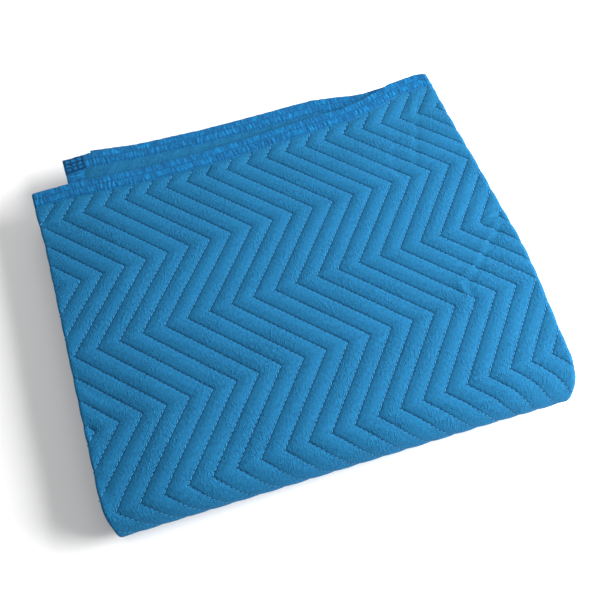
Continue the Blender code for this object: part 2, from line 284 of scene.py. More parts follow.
def side_lines(part):
    """The x of the bundle's left and right side at a part of its depth."""
    left = -LEFT_OUT - LEFT_LEAN * part - LEFT_FLARE * (1 - smooth(0, FLARE_TO, part))
    return left, WIDTH + RIGHT_OUT - RIGHT_LEAN * part - RIGHT_BOW * smooth(BOW_FROM, 1, part)


def depth_at(x):
    """How deep the bundle is at a place across it."""
    return DEPTH_LEFT + (DEPTH_RIGHT - DEPTH_LEFT) * x / WIDTH


def settle(x, depth, z):
    """Turns the true folded bundle into the uneven one that lies on the floor."""
    part = depth / DEPTH
    left, right = side_lines(part)
    tip = np.maximum(0, 1 - np.maximum(0, DEPTH - depth) / CORNER_LONG)
    on_left = LEFT_CORNER_ROUND * (1 - smooth(CORNER_EDGE, CORNER_WIDE, x))
    on_right = RIGHT_CORNER_ROUND * (1 - smooth(CORNER_EDGE, CORNER_WIDE, WIDTH - x))
    low_near = smooth(DEPTH - 2 * CORNER_SINK_WIDE, DEPTH, depth)
    low_side = 1 - smooth(0, CORNER_SINK_WIDE, np.minimum(x, WIDTH - x))
    height = z - sink(x, depth, z)
    height = height * (1 - CORNER_SINK * low_near * low_side)
    across = left + x / WIDTH * (right - left) + tip * tip * (on_left - on_right)
    placed = (across, -part * depth_at(x), height - (LAYER - CLOTH) / 2)
    return np.stack(placed, axis=-1) - CENTRE


def place(s, t, off):
    """Carries points of the flat blanket to the folded one. Off is their height over mid-cloth."""
    s, t, off = np.broadcast_arrays(np.asarray(s, float), t, off)
    x, height = walk(ACROSS, (UNDER_PANEL_IN, LAYER / 2), 0, s, off)
    distance = t - reach(s, t, x / WIDTH)
    depth, z = walk(ALONG, (0, 14 * LAYER), 180, distance, height - 2 * LAYER)
    return settle(x, -depth, z)


def zigzag(down):
    """How far a seam has swung to the right at a distance down from the far edge."""
    part = (down - FIRST_TURN) / ZIGZAG_LONG % 2
    return ZIGZAG_WIDE * np.where(part < 1, part, 2 - part)


def on_top(s, t):
    """Where the quilting pattern has a point: across from the left, and down from the far edge."""
    x = RIGHT_X + TOP_START - s
    part = (np.minimum(t, NEAR_START) - reach(s, t, x / WIDTH)) / DEPTH
    left, right = side_lines(part)
    down = part * depth_at(x) + np.maximum(0, t - NEAR_START)
    return left + x / WIDTH * (right - left), down


def along_for(s, down):
    """The t at which the cloth at s lies at a distance down from the far edge."""
    s = np.clip(s, TOP_START, TOP_END)
    x = RIGHT_X + TOP_START - s
    nominal = down * DEPTH / depth_at(x)
    t = nominal
    for _ in range(4):
        t = nominal + reach(s, t, x / WIDTH)
    past_fold = NEAR_START + down - NEAR_START / DEPTH * depth_at(x)
    return np.where(nominal > NEAR_START, past_fold, t)


def seam_count(s, t):
    """A number that is whole on each seam and grows by one from a seam to the next."""
    across, down = on_top(s, t)
    return (across - SEAM_START - zigzag(down)) / SEAM_PITCH


def find_s(count, row):
    """The s at which a row, given as a function of s, meets the line of a seam count."""
    s = TOP_START + RIGHT_X - SEAM_START - count * SEAM_PITCH
    for _ in range(14):
        s = s + (seam_count(s, row(s)) - count) * SEAM_PITCH
    return s


def crown(count):
    """From 0 on a seam to 1 on the crown between two seams: steep at the seam, flat on top."""
    return np.sin(np.pi * (count % 1)) ** CROWN_POWER


def lattice_noise(seed):
    """Smooth noise from -1 to 1, as a function of two numbers, with cells one unit wide."""
    table = np.random.default_rng(seed).uniform(-1, 1, (256, 256))

    def noise(a, b):
        a, b = np.broadcast_arrays(np.asarray(a, float), b)
        low_a, low_b = np.floor(a).astype(int), np.floor(b).astype(int)
        part_a, part_b = smooth(0, 1, a - low_a), smooth(0, 1, b - low_b)
        corners = [
            table[(low_a + i) % 256, (low_b + j) % 256]
            * (part_a if i else 1 - part_a) * (part_b if j else 1 - part_b)
            for i in (0, 1) for j in (0, 1)
        ]
        return sum(corners)

    return noise


def crease_relief(across, down):
    """The height that the creases add at places on the top: a trough with a ridge beside it."""
    relief = np.zeros(np.shape(across))
    for crease in CREASES:
        points = np.array(crease.points) * MM
        width = crease.width * MM
        best = np.full(np.shape(across), np.inf)
        side = np.zeros(np.shape(across))
        for start, end in zip(points, points[1:]):
            run = end - start
            long = math.hypot(*run)
            part = ((across - start[0]) * run[0] + (down - start[1]) * run[1]) / long ** 2
            clipped = np.clip(part, 0, 1)
            away_x = across - start[0] - clipped * run[0]
            away_y = down - start[1] - clipped * run[1]
            away = np.hypot(away_x, away_y)
            nearer = away < best
            best = np.where(nearer, away, best)
            side = np.where(nearer, (away_x * run[1] - away_y * run[0]) / long, side)
        trough = np.exp(-(best / width) ** 2)
        ridge = np.exp(-((side - 1.8 * width) / width) ** 2) * np.exp(-(best / (3 * width)) ** 4)
        relief += MM * (crease.ridge * ridge - crease.depth * trough)
    return relief


def edge_part(s, t):
    """From 0 under the tape to 1 on the open cloth."""
    end = np.minimum(t, BLANKET_LENGTH - t) - END_TAPE_WIDTH
    side = np.minimum(s, BLANKET_WIDTH - s) - SIDE_TAPE_WIDTH
    return smooth(THIN_TO, THICK_FROM, np.minimum(end, side))


def inside(span, value, fade=3 * MM):
    """1 inside a span of the cloth, fading to 0 beside it."""
    low, high = span
    return smooth(low - fade, low, value) * (1 - smooth(high, high + fade, value))


def front_height(s, t, sizes):
    """How far the outer face of the cloth stands over its middle."""
    top = smooth(RIGHT_FOLD_START, TOP_START + RIGHT_FADE, s)
    top = top * (1 - smooth(TOP_END - LEFT_FADE, LEFT_FOLD_END, s))
    top = top * (1 - smooth(FAR_FOLD[0] - FAR_FADE, FAR_FOLD[0], t))
    top = top * (1 - NEAR_CALM * smooth(NEAR_START, NEAR_START + NEAR_FADE, t))
    high = CLOTH / 2 + CROWN_RISE * top
    hidden = HIDDEN_PUFF * (1 - smooth(LEFT_FOLD_END, LEFT_FOLD_END + HIDDEN_FADE, s))
    deep = hidden + (sizes.puff_height - hidden) * top
    height = high - deep * (1 - crown(seam_count(s, t)))
    across, down = on_top(s, t)
    height = height + top * crease_relief(across, down) * sizes.crease_amount
    pinch = np.maximum(inside(RIGHT_INNER, s), np.maximum(inside(NEAR_INNER, t), inside(FAR_FOLD, t)))
    height = height * (1 - FOLD_PINCH * pinch)
    part = edge_part(s, t)
    return BOUND_CLOTH / 2 + (height - BOUND_CLOTH / 2) * part


def back_height(s, t):
    """How far the inner face of the cloth stands under its middle."""
    pinch = np.maximum(inside((TOP_END, LEFT_FOLD_END), s), inside(NEAR_INNER, t))
    pinch = np.maximum(pinch, inside(FAR_FOLD, t))
    height = (CLOTH / 2 - 0.05 * MM) * (1 - FOLD_PINCH * pinch)
    return BOUND_CLOTH / 2 + (height - BOUND_CLOTH / 2) * edge_part(s, t)


def uneven(points, sizes):
    """Adds the slow waves of a soft bundle, which grow from nothing at the floor to the top."""
    wave, swell = lattice_noise(11), lattice_noise(12)
    x, y = points[..., 0], points[..., 1]
    up = np.clip(points[..., 2] / (16 * LAYER), 0, 1)
    height = 0.6 * wave(x / 0.055, y / 0.045) + 0.4 * swell(x / 0.12, y / 0.1)
    moved = points.copy()
    moved[..., 2] += sizes.unevenness * up * height
    return moved


# Columns and rows of the cloth's mesh

SEAM_PARTS = (0, 0.045, 0.11, 0.22, 0.36, 0.5, 0.64, 0.78, 0.89, 0.955)
BOTTOM_PARTS = (0, 0.22, 0.5, 0.78)
FIRST_SEAM = -5
LAST_SEAM = 21
ROWS_PER_TURN = 26
BOTTOM_ROWS_PER_TURN = 8
TOP_KEY = 1000
AFTER_KEY = 5000
COLUMN_SPACE = 0.7 * MM
BESIDE_FOLD = (3 * MM, 7 * MM, 12 * MM)
PANEL_STEP = 45 * MM


def spread(low, high, step):
    """Places from low to high, about a step apart, without the ends."""
    count = max(1, round((high - low) / step))
    return [low + (high - low) * number / count for number in range(1, count)]


def fold_steps(span, steps):
    """Places round a fold, with its ends."""
    low, high = span
    return [low + (high - low) * number / steps for number in range(steps + 1)]


def side_columns():
    """The columns before and after the top panel, as lists of s."""
    tape = SIDE_TAPE_WIDTH
    before = [CLOTH_BACK, tape - 1 * MM, tape + THIN_TO, tape + THICK_FROM]
    before += spread(tape + THICK_FROM, RIGHT_FOLD_START - BESIDE_FOLD[-1], PANEL_STEP)
    before += [RIGHT_FOLD_START - step for step in reversed(BESIDE_FOLD)]
    before += fold_steps((RIGHT_FOLD_START, TOP_START), 9)
    after = fold_steps((TOP_END, LEFT_FOLD_END), 6)
    after += [LEFT_FOLD_END + step for step in BESIDE_FOLD]
    after += spread(after[-1], RIGHT_INNER[0] - BESIDE_FOLD[-1], PANEL_STEP)
    after += [RIGHT_INNER[0] - step for step in reversed(BESIDE_FOLD)]
    after += fold_steps(RIGHT_INNER, 6)
    after += [RIGHT_INNER[1] + step for step in BESIDE_FOLD]
    end = BLANKET_WIDTH - tape
    after += spread(after[-1], end - THICK_FROM, 30 * MM)
    after += [end - THICK_FROM, end - THIN_TO, end + 1 * MM, BLANKET_WIDTH - CLOTH_BACK]
    return before, after


def top_columns(parts):
    """The seam counts at which the top panel has columns, each with its key."""
    found = []
    for seam in range(FIRST_SEAM, LAST_SEAM):
        for part in parts:
            count = seam + part
            key = TOP_KEY + (LAST_SEAM - count) * 100
            found.append((round(key, 3), count))
    return sorted(found)


def row_functions():
    """The rows of the cloth in order, each a function of s with the top columns that it has."""
    rows = []
    first_steps = round(FIRST_TURN / ZIGZAG_LONG * ROWS_PER_TURN)
    for step in range(first_steps):
        part = step / first_steps
        rows.append((lambda s, part=part: CLOTH_BACK + (along_for(s, FIRST_TURN) - CLOTH_BACK) * part,
                     SEAM_PARTS))
    step = 0
    near_down = NEAR_END - NEAR_START + DEPTH_RIGHT
    down = FIRST_TURN
    while down < near_down:
        rows.append((lambda s, down=down: along_for(s, down), SEAM_PARTS))
        step += 1
        down = FIRST_TURN + ZIGZAG_LONG * step / ROWS_PER_TURN
    coarse = math.ceil(step * BOTTOM_ROWS_PER_TURN / ROWS_PER_TURN)
    down = FIRST_TURN + ZIGZAG_LONG * coarse / BOTTOM_ROWS_PER_TURN
    far_down = FAR_FOLD[0] - NEAR_START + DEPTH_LEFT - 50 * MM
    while down < far_down:
        rows.append((lambda s, down=down: along_for(s, down), BOTTOM_PARTS))
        coarse += 1
        down = FIRST_TURN + ZIGZAG_LONG * coarse / BOTTOM_ROWS_PER_TURN
    tape = BLANKET_LENGTH - END_TAPE_WIDTH
    places = [FAR_FOLD[0] - 8 * MM] + fold_steps(FAR_FOLD, 10)
    places += spread(FAR_FOLD[1], NEAR_INNER[0], 10 * MM) + fold_steps(NEAR_INNER, 10)
    places += spread(NEAR_INNER[1], tape - THICK_FROM, 10 * MM)
    places += [tape - THICK_FROM, tape - THIN_TO, tape + 1 * MM, BLANKET_LENGTH - CLOTH_BACK]
    for t in places:
        rows.append((lambda s, t=t: np.full(np.shape(s), t), (0,)))
    return rows


def zip_rows(first, second, flip):
    """Faces between two rows of (key, vertex): quads where keys agree, triangles elsewhere."""
    faces = []
    i = j = 0
    while i < len(first) - 1 or j < len(second) - 1:
        here = first[i + 1][0] if i < len(first) - 1 else math.inf
        there = second[j + 1][0] if j < len(second) - 1 else math.inf
        face = [first[i][1]]
        if here <= there:
            i += 1
            face.append(first[i][1])
        if there <= here:
            face += [second[j + 1][1], second[j][1]]
            j += 1
        else:
            face.append(second[j][1])
        faces.append(face[::-1] if flip else face)
    return faces


def cloth_mesh(name, sizes):
    """The closed mesh of the folded sheet, with its places on the flat cloth as UV maps."""
    before, after = side_columns()
    columns = {parts: top_columns(parts) for parts in (SEAM_PARTS, BOTTOM_PARTS, (0,))}
    back_columns = before + spread(TOP_START, TOP_END, 35 * MM) + after
    fronts, backs, places = [], [], []
    for row, parts in row_functions():
        counts = np.array([count for _, count in columns[parts]])
        found = find_s(counts, row)
        front = list(enumerate(before))
        for (key, _), s in zip(columns[parts], found):
            if TOP_START + COLUMN_SPACE < s < TOP_END - COLUMN_SPACE:
                front.append((key, s))
        front += [(AFTER_KEY + number, s) for number, s in enumerate(after)]
        back = list(enumerate(back_columns))
        for side, line, store in ((0, front, fronts), (1, back, backs)):
            s = np.array([s for _, s in line])
            store.append([(key, len(places) + number) for number, (key, _) in enumerate(line)])
            places += [(a, b, side) for a, b in zip(s, row(s))]
    faces = []
    for rows, flip in ((fronts, False), (backs, True)):
        for first, second in zip(rows, rows[1:]):
            faces += zip_rows(first, second, flip)
    for end, turned in ((0, False), (-1, True)):
        for number in range(len(fronts) - 1):
            rim = [fronts[number][end][1], fronts[number + 1][end][1],
                   backs[number + 1][end][1], backs[number][end][1]]
            faces.append(rim[::-1] if turned else rim)
    for number, turned in ((0, True), (-1, False)):
        ends = [[(place_s, vertex) for (_, vertex), place_s in
                 zip(line[number], [places[vertex][0] for _, vertex in line[number]])]
                for line in (fronts, backs)]
        faces += zip_rows(ends[0], ends[1], turned)
    s, t, side = np.array(places).T
    off = np.where(side == 0, front_height(s, t, sizes), -back_height(s, t))
    points = uneven(place(s, t, off), sizes)
    return make_mesh(name, points, faces, {"flat": (s, t), "quilt": quilt_place(s, t)})


def quilt_place(s, t):
    """The seam count of points, and how far along their seam they are, in units of a pitch."""
    down = on_top(s, t)[1]
    return seam_count(s, t), down * SEAM_STRETCH / SEAM_PITCH


def make_mesh(name, points, faces, maps):
    """A smooth mesh with a UV map for each named pair of values on its points."""
    mesh = bpy.data.meshes.new(name)
    mesh.from_pydata(points.tolist(), [], faces)
    corners = np.zeros(len(mesh.loops), int)
    mesh.loops.foreach_get("vertex_index", corners)
    for map_name, (a, b) in maps.items():
        layer = mesh.uv_layers.new(name=map_name)
        layer.data.foreach_set("uv", np.stack((a, b), axis=1)[corners].ravel())
    mesh.shade_smooth()
    mesh.update()
    return mesh


# Tape

FRONT_STEPS = 15
TAPE_HALF = 1.3 * MM
TAPE_INNER = 0.78 * MM
TAPE_BACK_STEPS = 5
PUCKER_PITCH = 4.7 * MM
PUCKER_SLANT = 0.07
PUCKER_WOBBLE = 2.2 * MM


def tape_profile(width):
    """The outline of a folded tape: distance from the cloth's edge, height and a ripple factor."""
    outer = [(width * (1 - step / FRONT_STEPS) + 1.5 * MM * step / FRONT_STEPS, TAPE_HALF, 1)
             for step in range(FRONT_STEPS + 1)]
    for step in range(1, 6):
        angle = math.pi / 2 - math.pi * step / 6
        outer.append((1.5 * MM - 1.45 * MM * math.cos(angle), TAPE_HALF * math.sin(angle), 0.3))
    outer += [(1.5 * MM + (width - 1.5 * MM) * step / TAPE_BACK_STEPS, -TAPE_HALF, 0)
              for step in range(TAPE_BACK_STEPS + 1)]
    inner = [(width, -TAPE_INNER, 0), (0.9 * MM, -TAPE_INNER, 0), (0.45 * MM, 0, 0),
             (0.9 * MM, TAPE_INNER, 0), (width, TAPE_INNER, 0)]
    return outer + inner


def tape_mesh(name, width, places, point_at, sizes, seed):
    """A tape folded over an edge of the cloth, rippled where its stitches draw it in."""
    outline = tape_profile(width)
    back, height, ripple = np.array(outline).T
    along = np.array(places)[:, None]
    fine, wobble, strength, edge = (lattice_noise(seed + number) for number in range(4))
    slanted = along + PUCKER_SLANT * back + PUCKER_WOBBLE * wobble(along / (9 * MM), back / (9 * MM))
    wave = 0.55 * np.sin(2 * np.pi * slanted / PUCKER_PITCH)
    wave = wave + 0.8 * fine(along / (1.6 * MM), back / (8 * MM))
    wave *= 0.5 + 0.7 * strength(along / (16 * MM), back / (30 * MM))
    wave *= 0.6 + 0.4 * smooth(0.3 * width, 0.55 * width, back)
    held = np.ones(back.shape)
    for row in STITCH_ROWS:
        held = held * (1 - 0.75 * np.exp(-((back - row) / (1.5 * MM)) ** 2))
    lift = wave * held + 0.4 - 0.9 * (1 - held)
    flat_rim = 1 - 0.55 * smooth(width - 2.5 * MM, width, back) * (ripple > 0)
    off = height * flat_rim + np.sign(height) * sizes.tape_ripple * ripple * lift
    shift = 0.35 * MM * edge(along / (5 * MM), 0) * (back < 4 * MM)
    a, b = np.broadcast_arrays(along, back + shift)
    s, t = point_at(a, b)
    points = uneven(place(s, t, off), sizes)
    rows, size = a.shape
    faces = []
    for row in range(rows - 1):
        for number in range(size):
            following = (number + 1) % size
            low, high = row * size, (row + 1) * size
            faces.append((low + number, high + number, high + following, low + following))
    faces.append(tuple(range(size)))
    faces.append(tuple((rows - 1) * size + number for number in reversed(range(size))))
    flat_back = np.broadcast_to(back, a.shape)
    maps = {"tape": (a.ravel() / MM, flat_back.ravel() / MM)}
    return make_mesh(name, points.reshape(-1, 3), faces, maps)


STITCH_ROWS = (10.5 * MM, 20.3 * MM)


def tape_places(low, high, fine_spans, fine_step, coarse_step):
    """Places along a tape: close together in the spans that show, and wider elsewhere."""
    edges = sorted({low, high, *(edge for span in fine_spans for edge in span)})
    found = []
    for start, end in zip(edges, edges[1:]):
        middle = (start + end) / 2
        fine = any(span[0] <= middle <= span[1] for span in fine_spans)
        found += [start] + spread(start, end, fine_step if fine else coarse_step)
    return found + [high]


# Materials


def linear(code):
    """An sRGB hex colour as linear red, green and blue."""
    values = [int(code[number:number + 2], 16) / 255 for number in (1, 3, 5)]
    return tuple(v / 12.92 if v <= 0.04045 else ((v + 0.055) / 1.055) ** 2.4 for v in values)


def add_node(tree, kind, settings=None, inputs=None):
    """Adds a node with its settings. An input is a value, or a socket to link from."""
    node = tree.nodes.new(kind)
    for key, value in (settings or {}).items():
        setattr(node, key, value)
    for key, value in (inputs or {}).items():
        if isinstance(value, bpy.types.NodeSocket):
            tree.links.new(value, node.inputs[key])
        else:
            node.inputs[key].default_value = value
    return node


def start_material(name, roughness, gloss, sheen, tint):
    """A material with a shader for soft cloth, its tree and that shader."""
    material = bpy.data.materials.new(name)
    material.use_nodes = True
    tree = material.node_tree
    shader = tree.nodes["Principled BSDF"]
    shader.inputs["Roughness"].default_value = roughness
    shader.inputs["Specular IOR Level"].default_value = gloss
    shader.inputs["Sheen Weight"].default_value = sheen
    shader.inputs["Sheen Roughness"].default_value = 0.5
    shader.inputs["Sheen Tint"].default_value = (*tint, 1)
    return material, tree, shader


def blend_colours(tree, factor, first, second):
    """A mix of two colours, each a value or a socket."""
    node = add_node(tree, "ShaderNodeMix", {"data_type": "RGBA"})
    for number, value in ((0, factor), (6, first), (7, second)):
        if isinstance(value, bpy.types.NodeSocket):
            tree.links.new(value, node.inputs[number])
        else:
            node.inputs[number].default_value = value if number == 0 else (*value, 1)
    return node.outputs[2]


def maths(tree, operation, *values):
    """A sum or other operation on values and sockets."""
    inputs = dict(enumerate(values))
    return add_node(tree, "ShaderNodeMath", {"operation": operation}, inputs).outputs[0]


def noise_on(tree, vector, scale, detail=2.0, roughness=0.5, stretch=None):
    """Noise in millimetres on a vector, stretched where asked."""
    if stretch:
        vector = add_node(tree, "ShaderNodeMapping", inputs={"Vector": vector, "Scale": stretch}).outputs[0]
    node = add_node(tree, "ShaderNodeTexNoise", {"noise_dimensions": "3D"},
                    {"Vector": vector, "Scale": scale, "Detail": detail, "Roughness": roughness})
    return node.outputs["Fac"]


def soft_step(tree, value, low, high, start=0.0, end=1.0):
    """A value mapped smoothly from one range to another."""
    node = add_node(tree, "ShaderNodeMapRange", {"interpolation_type": "SMOOTHSTEP"},
                    {"Value": value, "From Min": low, "From Max": high, "To Min": start, "To Max": end})
    return node.outputs[0]


def felt_material(colours):
    """Needled polyester felt: matt, with a short nap in fine strokes and small wrinkles at its seams."""
    material, tree, shader = start_material("needled polyester felt", 0.95, 0.12, 0.2, colours.fibre)
    flat = add_node(tree, "ShaderNodeUVMap", {"uv_map": "flat"}).outputs[0]
    quilt = add_node(tree, "ShaderNodeUVMap", {"uv_map": "quilt"}).outputs[0]
    in_mm = add_node(tree, "ShaderNodeVectorMath", {"operation": "SCALE"},
                     {0: flat, "Scale": 1 / MM}).outputs[0]
    parts = add_node(tree, "ShaderNodeSeparateXYZ", inputs={0: quilt})
    phase = maths(tree, "FRACT", parts.outputs[0])
    from_seam = maths(tree, "MINIMUM", phase, maths(tree, "SUBTRACT", 1.0, phase))
    across = add_node(tree, "ShaderNodeSeparateXYZ", inputs={0: flat}).outputs[0]
    shown = maths(tree, "LESS_THAN", across, LEFT_FOLD_END)
    # Painted shade: a narrow dark line along each seam's groove, mixed in only on the cloth that shows.
    painted_seam_shade = maths(tree, "MULTIPLY", soft_step(tree, from_seam, 0.015, 0.06, 1.0, 0.0), shown)
    beside_seam = soft_step(tree, from_seam, 0.02, 0.32, 1.0, 0.0)
    # Real fibres are too fine to show, so the nap is drawn coarser: tufts of about 1 mm, and strokes
    # of about 2 by 5 mm.
    nap = noise_on(tree, in_mm, 0.95, 2.0, 0.7)
    strokes = noise_on(tree, in_mm, 0.6, 2.0, 0.6, (1.0, 0.35, 1.0))
    cloud = noise_on(tree, in_mm, 0.03, 2.0, 0.5)
    grain = maths(tree, "ADD", maths(tree, "MULTIPLY", nap, 0.6), maths(tree, "MULTIPLY", strokes, 0.4))
    # The grain is random mottling of the felt. It also raises the fuzz, so the colour gives the tufts' tops
    # a painted highlight and the low places between them painted shade.
    colour = blend_colours(tree, soft_step(tree, grain, 0.36, 0.64), colours.felt_mottle_and_shade, colours.felt_mottle_and_highlight)
    dull = maths(tree, "MULTIPLY", soft_step(tree, cloud, 0.4, 0.65), 0.25)
    colour = blend_colours(tree, dull, colour, colours.felt)
    # Mixes the painted seam shade into the felt's colour.
    colour = blend_colours(tree, maths(tree, "MULTIPLY", painted_seam_shade, 0.7), colour, colours.seam)
    tree.links.new(colour, shader.inputs["Base Color"])
    puckers = noise_on(tree, quilt, 1.0, 2.0, 0.5, (1.4, 5.5, 1.0))
    drawn = maths(tree, "MULTIPLY", maths(tree, "MULTIPLY", puckers, beside_seam), 0.7 * MM)
    wrinkles = fine_wrinkles(tree, in_mm)
    fuzz = maths(tree, "MULTIPLY", grain, 0.22 * MM)
    height = maths(tree, "ADD", maths(tree, "ADD", fuzz, wrinkles), drawn)
    bump = add_node(tree, "ShaderNodeBump", inputs={"Strength": 1.0, "Distance": 1.0, "Height": height})
    tree.links.new(bump.outputs[0], shader.inputs["Normal"])
    return material


def fine_wrinkles(tree, in_mm):
    """Height of short wrinkles, 6 to 15 mm long, which lie in patches."""
    waves = noise_on(tree, in_mm, 0.16, 1.5, 0.5, (1.5, 0.7, 1.0))
    from_line = maths(tree, "ABSOLUTE", maths(tree, "SUBTRACT", waves, 0.5))
    line = soft_step(tree, from_line, 0.0, 0.05, 1.0, 0.0)
    patches = soft_step(tree, noise_on(tree, in_mm, 0.022, 1.0, 0.5), 0.4, 0.58)
    return maths(tree, "MULTIPLY", maths(tree, "MULTIPLY", line, patches), 0.35 * MM)


def tape_material(colours):
    """Woven polyester tape: smoother than the felt, with a soft sheen and fine cross ribs."""
    material, tree, shader = start_material("woven polyester tape", 0.6, 0.12, 0.1, colours.tape_highlight)
    tape = add_node(tree, "ShaderNodeUVMap", {"uv_map": "tape"}).outputs[0]
    ribs = add_node(tree, "ShaderNodeTexWave", {"wave_type": "BANDS", "bands_direction": "X"},
                    {"Vector": tape, "Scale": 0.55, "Distortion": 1.2, "Detail": 1.0}).outputs["Fac"]
    # The crinkles are 2 to 3 mm wide and run across the tape. The ribs are about 0.6 mm apart.
    crinkle = noise_on(tree, tape, 0.42, 3.0, 0.6, (1.0, 0.22, 1.0))
    stains = noise_on(tree, tape, 0.06, 2.0, 0.5)
    # Painted shade and highlight: the crinkles' hollows, which the bump sinks, take the dark tape colour,
    # and their raised tops take the light one.
    fold = soft_step(tree, crinkle, 0.35, 0.68)
    colour = blend_colours(tree, fold, colours.tape_shade_and_stain, colours.tape)
    crinkle_highlight_mix = maths(tree, "MULTIPLY", soft_step(tree, crinkle, 0.56, 0.78), 0.7)
    colour = blend_colours(tree, crinkle_highlight_mix, colour, colours.tape_highlight)
    # The stains are the tape's own colour: random patches mixed towards the same dark colour.
    dull = maths(tree, "MULTIPLY", soft_step(tree, stains, 0.45, 0.7), 0.3)
    colour = blend_colours(tree, dull, colour, colours.tape_shade_and_stain)
    tree.links.new(colour, shader.inputs["Base Color"])
    height = maths(tree, "ADD", maths(tree, "MULTIPLY", crinkle, 0.7 * MM),
                   maths(tree, "MULTIPLY", ribs, 0.05 * MM))
    bump = add_node(tree, "ShaderNodeBump", inputs={"Strength": 1.0, "Distance": 1.0, "Height": height})
    tree.links.new(bump.outputs[0], shader.inputs["Normal"])
    return material


def thread_material(name, colour, tint):
    """Spun polyester thread: a twisted, matt strand."""
    material, tree, shader = start_material(name, 0.65, 0.12, 0.06, tint)
    place_node = add_node(tree, "ShaderNodeTexCoord").outputs["Object"]
    twist = add_node(tree, "ShaderNodeTexNoise",
                     inputs={"Vector": place_node, "Scale": 900.0, "Detail": 1.0})
    shade = blend_colours(tree, twist.outputs["Fac"], tuple(0.7 * part for part in colour), colour)
    tree.links.new(shade, shader.inputs["Base Color"])
    return material


def floor_material(colour):
    """A plain pale sweep of matt paper."""
    material = bpy.data.materials.new("matt white paper")
    material.use_nodes = True
    shader = material.node_tree.nodes["Principled BSDF"]
    shader.inputs["Base Color"].default_value = (*colour, 1)
    shader.inputs["Roughness"].default_value = 0.9
    return material


# Stitches

QUILTING_RISE = 0.35 * MM
QUILTING_TURN = 0.16
PROUD_LIFT = 0.4 * MM
SUNK_LIFT = -0.25 * MM
SHORTEST_SEAM = 15 * MM
TAPE_STITCH_PITCH = 3.4 * MM
TAPE_STITCH = {"Length": 2.4 * MM, "Radius": 0.2 * MM, "Rise": 0.3 * MM, "Turn": 0.12, "Seed": 4}

# The bar tack on the corner of the tape: a grid of lines of short, untidy stitches
TACK_LINES = 4
TACK_EDGE = 2.5 * MM
TACK_ACROSS = 25 * MM
TACK_DOWN = 21.5 * MM
TACK_ROW_SPACE = 6.3 * MM
TACK_COLUMN_SPACE = 7.4 * MM
TACK_LIFT = 0.3 * MM
TACK_PITCH = 0.9 * MM
TACK_STITCH = {"Length": 2.2 * MM, "Radius": 0.35 * MM, "Rise": 0.3 * MM, "Turn": 1.1, "Seed": 5}


def stitch_tree():
    """A tree that lays one stitch after another along lines, on the side that the lines' up gives."""
    tree = bpy.data.node_groups.new("stitches along lines", "GeometryNodeTree")
    tree.interface.new_socket("Lines", in_out="INPUT", socket_type="NodeSocketGeometry")
    for name in ("Pitch", "Length", "Radius", "Rise", "Turn"):
        tree.interface.new_socket(name, in_out="INPUT", socket_type="NodeSocketFloat")
    tree.interface.new_socket("Seed", in_out="INPUT", socket_type="NodeSocketInt")
    tree.interface.new_socket("Material", in_out="INPUT", socket_type="NodeSocketMaterial")
    tree.interface.new_socket("Stitches", in_out="OUTPUT", socket_type="NodeSocketGeometry")
    given = add_node(tree, "NodeGroupInput").outputs
    half = maths(tree, "MULTIPLY", given["Length"], 0.5)
    start = add_node(tree, "ShaderNodeCombineXYZ", inputs={0: maths(tree, "MULTIPLY", half, -1.0)})
    middle = add_node(tree, "ShaderNodeCombineXYZ", inputs={2: given["Rise"]})
    end = add_node(tree, "ShaderNodeCombineXYZ", inputs={0: half})
    arc = add_node(tree, "GeometryNodeCurveQuadraticBezier",
                   inputs={"Resolution": 4, "Start": start.outputs[0], "Middle": middle.outputs[0],
                           "End": end.outputs[0]})
    round_thread = add_node(tree, "GeometryNodeCurvePrimitiveCircle",
                            inputs={"Resolution": 5, "Radius": given["Radius"]})
    stitch = add_node(tree, "GeometryNodeCurveToMesh",
                      inputs={"Curve": arc.outputs[0], "Profile Curve": round_thread.outputs["Curve"],
                              "Fill Caps": True})
    lines = add_node(tree, "GeometryNodeMeshToCurve", inputs={"Mesh": given["Lines"]})
    spots = add_node(tree, "GeometryNodeCurveToPoints", {"mode": "LENGTH"},
                     {"Curve": lines.outputs[0], "Length": given["Pitch"]})
    up = add_node(tree, "GeometryNodeInputNamedAttribute", {"data_type": "FLOAT_VECTOR"}, {"Name": "up"})
    ahead = add_node(tree, "FunctionNodeAlignRotationToVector", {"axis": "X"},
                     {"Vector": spots.outputs["Tangent"]})
    upright = add_node(tree, "FunctionNodeAlignRotationToVector", {"axis": "Z", "pivot_axis": "X"},
                       {"Rotation": ahead.outputs[0], "Vector": up.outputs["Attribute"]})
    chance = add_node(tree, "FunctionNodeRandomValue", {"data_type": "FLOAT"},
                      {"Min": -1.0, "Max": 1.0, "Seed": given["Seed"]})
    random_turn = [socket for socket in chance.outputs if socket.enabled][0]
    swing = maths(tree, "MULTIPLY", random_turn, given["Turn"])
    yaw = add_node(tree, "ShaderNodeCombineXYZ", inputs={2: swing})
    turned = add_node(tree, "FunctionNodeRotateRotation", {"rotation_space": "LOCAL"},
                      {"Rotation": upright.outputs[0], "Rotate By": yaw.outputs[0]})
    size = maths(tree, "ADD", maths(tree, "MULTIPLY", random_turn, 0.1), 1.0)
    laid = add_node(tree, "GeometryNodeInstanceOnPoints",
                    inputs={"Points": spots.outputs["Points"], "Instance": stitch.outputs[0],
                            "Rotation": turned.outputs[0], "Scale": size})
    real = add_node(tree, "GeometryNodeRealizeInstances", inputs={"Geometry": laid.outputs[0]})
    smoothed = add_node(tree, "GeometryNodeSetShadeSmooth", inputs={"Geometry": real.outputs[0]})
    finished = add_node(tree, "GeometryNodeSetMaterial",
                        inputs={"Geometry": smoothed.outputs[0], "Material": given["Material"]})
    add_node(tree, "NodeGroupOutput", inputs={"Stitches": finished.outputs[0]})
    return tree


